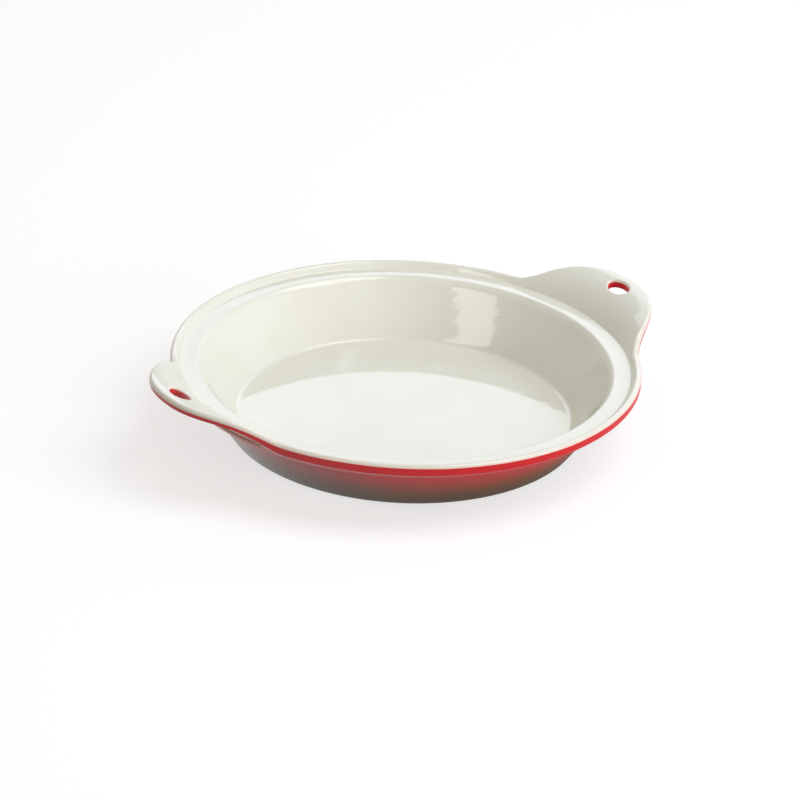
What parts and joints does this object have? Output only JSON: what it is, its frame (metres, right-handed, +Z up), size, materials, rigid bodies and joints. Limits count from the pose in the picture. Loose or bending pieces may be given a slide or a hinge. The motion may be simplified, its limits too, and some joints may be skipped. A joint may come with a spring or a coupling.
{
  "type": "stoneware baking dish",
  "caption": "Round glazed stoneware baking dish with sloping walls, a flat rim band, a raised outer edge and two rising lug handles, each with an oval hanging hole.",
  "frame": {"origin": "on the dish's axis, in the plane of the foot ring that stands on the table", "axes": "+X along the line through both handles, towards the right handle; +Y across the handles; +Z up out of the dish"},
  "size_m": [0.3086, 0.26, 0.0538],
  "materials": {
    "stoneware": "bare fired clay, matt",
    "cream_glaze": "glossy cream glaze",
    "red_glaze": "glossy red glaze, shading to dark brown-grey towards the base"
  },
  "bodies": {
    "root": {"stoneware_bowl": "stoneware", "right_handle": "stoneware", "left_handle": "stoneware", "liner_glaze": "cream_glaze", "outer_glaze": "red_glaze", "base_glaze": "red_glaze"}
  },
  "joints": []
}
